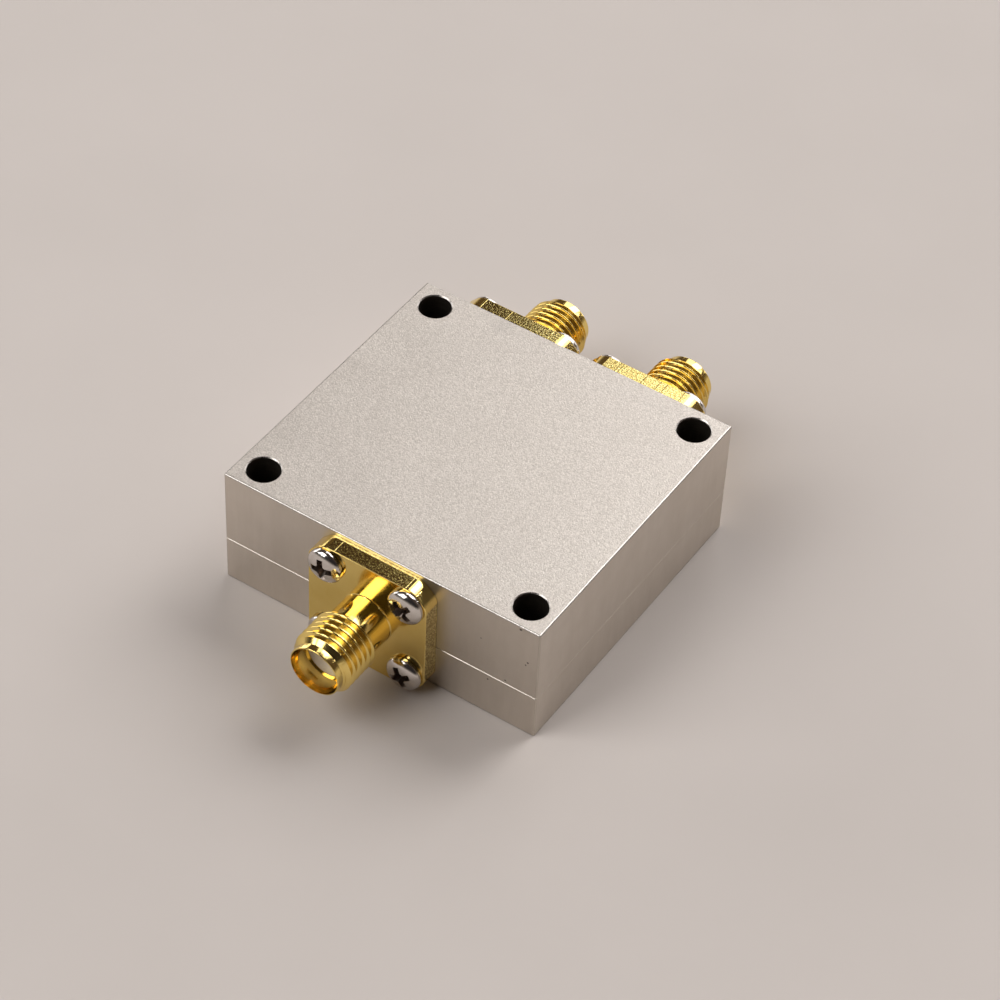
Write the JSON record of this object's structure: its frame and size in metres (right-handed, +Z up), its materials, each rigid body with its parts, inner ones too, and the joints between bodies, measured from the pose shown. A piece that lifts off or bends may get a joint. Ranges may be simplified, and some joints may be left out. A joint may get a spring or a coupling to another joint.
{
  "type": "rf power splitter",
  "caption": "Two-way coaxial power splitter in a split aluminium housing, with gold-plated flanged screw-thread sockets around a divider board.",
  "frame": {"origin": "centre of the housing's underside, midway between the front and rear socket rims", "axes": "+Z up out of the lid, -Y out of the input socket, +Y out of the two output sockets"},
  "size_m": [0.034, 0.0516, 0.0132],
  "materials": {
    "blasted_aluminium": "bead-blasted, satin",
    "gold_plating": "polished gold plating over brass",
    "nickel_plating": "polished nickel plating over steel",
    "white_insulator": "turned white fluoropolymer",
    "board_laminate": "bare low-loss laminate",
    "resistor_chip": "thick-film chip"
  },
  "bodies": {
    "root": {"housing_lid": "blasted_aluminium", "base_plate": "blasted_aluminium", "circuit_board": "board_laminate", "microstrip_trace": "gold_plating", "isolation_resistor_1": "resistor_chip", "isolation_resistor_2": "resistor_chip", "isolation_resistor_3": "resistor_chip", "input_shell": "gold_plating", "input_insulator": "white_insulator", "input_contact": "gold_plating", "input_screw_1": "nickel_plating", "input_screw_2": "nickel_plating", "input_screw_3": "nickel_plating", "input_screw_4": "nickel_plating", "output_left_shell": "gold_plating", "output_left_insulator": "white_insulator", "output_left_contact": "gold_plating", "output_left_screw_1": "nickel_plating", "output_left_screw_2": "nickel_plating", "output_left_screw_3": "nickel_plating", "output_left_screw_4": "nickel_plating", "output_right_shell": "gold_plating", "output_right_insulator": "white_insulator", "output_right_contact": "gold_plating", "output_right_screw_1": "nickel_plating", "output_right_screw_2": "nickel_plating", "output_right_screw_3": "nickel_plating", "output_right_screw_4": "nickel_plating"}
  },
  "joints": []
}
